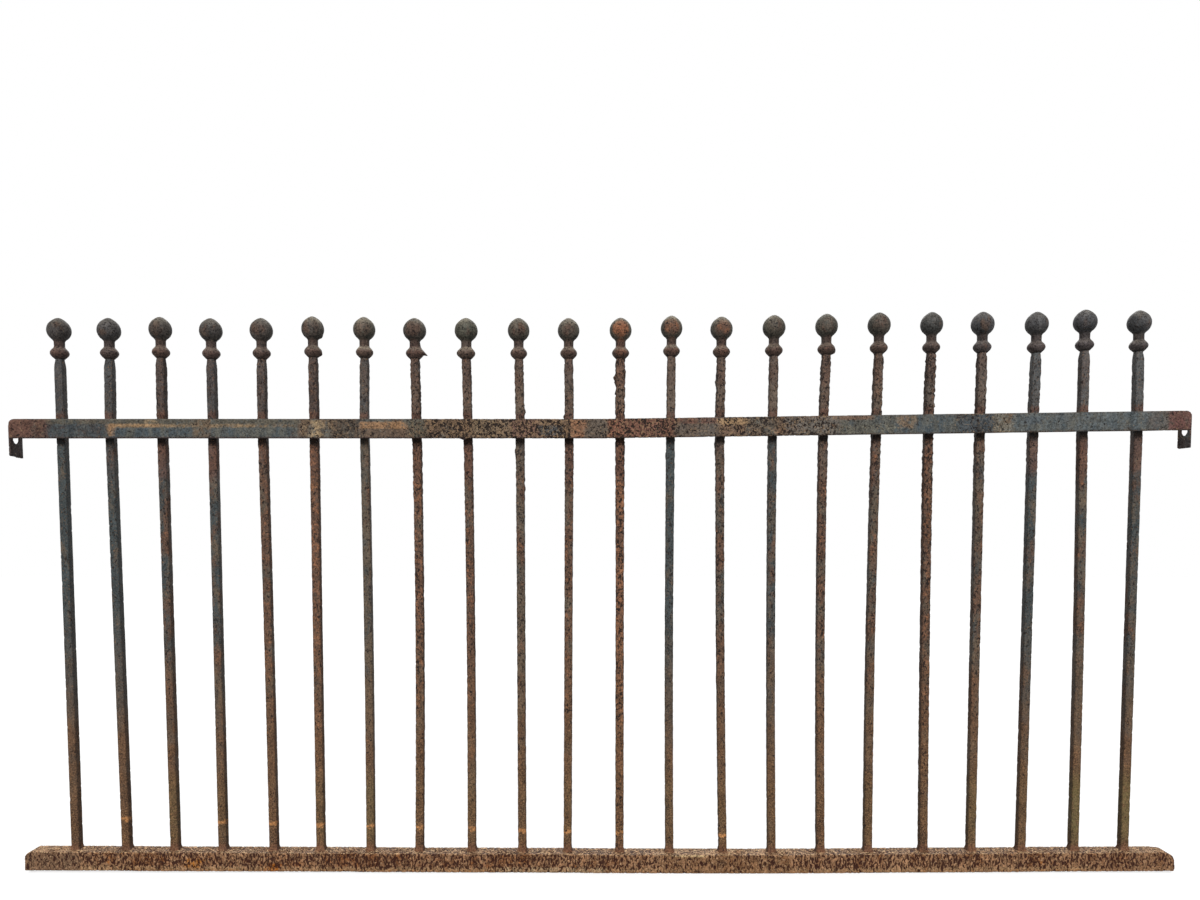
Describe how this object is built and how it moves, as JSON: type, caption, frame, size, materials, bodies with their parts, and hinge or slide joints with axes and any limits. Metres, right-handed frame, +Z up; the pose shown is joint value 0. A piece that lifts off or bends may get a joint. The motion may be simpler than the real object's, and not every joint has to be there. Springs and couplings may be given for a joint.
{
  "type": "wrought iron fence section",
  "caption": "Old iron fence section: upright square bars topped with cast ball finials, carried by two angle-iron rails, with drilled lugs turned down at the ends of the top rail.",
  "frame": {"origin": "centre of the left lug's bolt hole, on the lug's outer flat face", "axes": "+X along the fence to the right lug, +Y from the front of the rails to the back, +Z up"},
  "size_m": [2.284, 0.0449, 1.1095],
  "materials": {
    "painted_rail": "worn dark grey paint over pitted brown and orange rust",
    "rusted_rail": "tan and brown scale with deep red-brown pits, almost no paint left",
    "painted_bar": "thin dark grey paint over scaly brown rust, browner towards the feet",
    "cast_ball": "dull brown-grey cast surface with a greenish upper side"
  },
  "bodies": {
    "root": {"top_rail": "painted_rail", "bottom_rail": "rusted_rail", "bar_01": "painted_bar", "ball_finial_01": "cast_ball", "bar_02": "painted_bar", "ball_finial_02": "cast_ball", "bar_03": "painted_bar", "ball_finial_03": "cast_ball", "bar_04": "painted_bar", "ball_finial_04": "cast_ball", "bar_05": "painted_bar", "ball_finial_05": "cast_ball", "bar_06": "painted_bar", "ball_finial_06": "cast_ball", "bar_07": "painted_bar", "ball_finial_07": "cast_ball", "bar_08": "painted_bar", "ball_finial_08": "cast_ball", "bar_09": "painted_bar", "ball_finial_09": "cast_ball", "bar_10": "painted_bar", "ball_finial_10": "cast_ball", "bar_11": "painted_bar", "ball_finial_11": "cast_ball", "bar_12": "painted_bar", "ball_finial_12": "cast_ball", "bar_13": "painted_bar", "ball_finial_13": "cast_ball", "bar_14": "painted_bar", "ball_finial_14": "cast_ball", "bar_15": "painted_bar", "ball_finial_15": "cast_ball", "bar_16": "painted_bar", "ball_finial_16": "cast_ball", "bar_17": "painted_bar", "ball_finial_17": "cast_ball", "bar_18": "painted_bar", "ball_finial_18": "cast_ball", "bar_19": "painted_bar", "ball_finial_19": "cast_ball", "bar_20": "painted_bar", "ball_finial_20": "cast_ball", "bar_21": "painted_bar", "ball_finial_21": "cast_ball", "bar_22": "painted_bar", "ball_finial_22": "cast_ball"}
  },
  "joints": []
}
